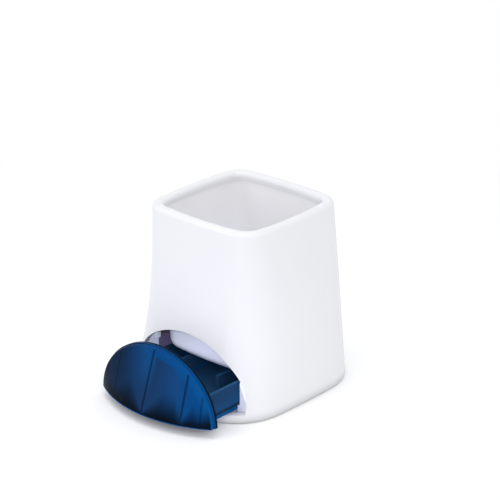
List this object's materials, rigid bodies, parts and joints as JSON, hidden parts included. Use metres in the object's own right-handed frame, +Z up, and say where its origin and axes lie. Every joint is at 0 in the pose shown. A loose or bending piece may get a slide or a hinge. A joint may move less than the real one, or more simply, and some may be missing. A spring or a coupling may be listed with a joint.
{
  "type": "pen holder with drawer",
  "caption": "Square pen cup with bowed sides and a rounded rim, flaring to a base with an arched opening for a sliding drawer with a half-moon pull.",
  "frame": {"origin": "centre of the flat underside that rests on the desk, under the middle of the pen cup", "axes": "+Z up, -Y the way the drawer pulls out, +X to the right when facing the drawer"},
  "size_m": [0.0962, 0.127, 0.1],
  "materials": {
    "body_white": "satin white moulded plastic",
    "cup_white": "satin white moulded plastic",
    "base_white": "satin white moulded plastic",
    "tray_blue": "clear dark blue moulded plastic",
    "pull_blue": "clear dark blue moulded plastic"
  },
  "bodies": {
    "holder": {"body_shell": "body_white", "pen_cup": "cup_white", "base_plate": "base_white"},
    "drawer": {"drawer_tray": "tray_blue", "drawer_front": "pull_blue"}
  },
  "joints": [
    {"name": "drawer_slide", "type": "slide", "parent": "holder", "child": "drawer", "axis": [0, -1, 0], "range_m": [-0.0194, 0.035]}
  ]
}
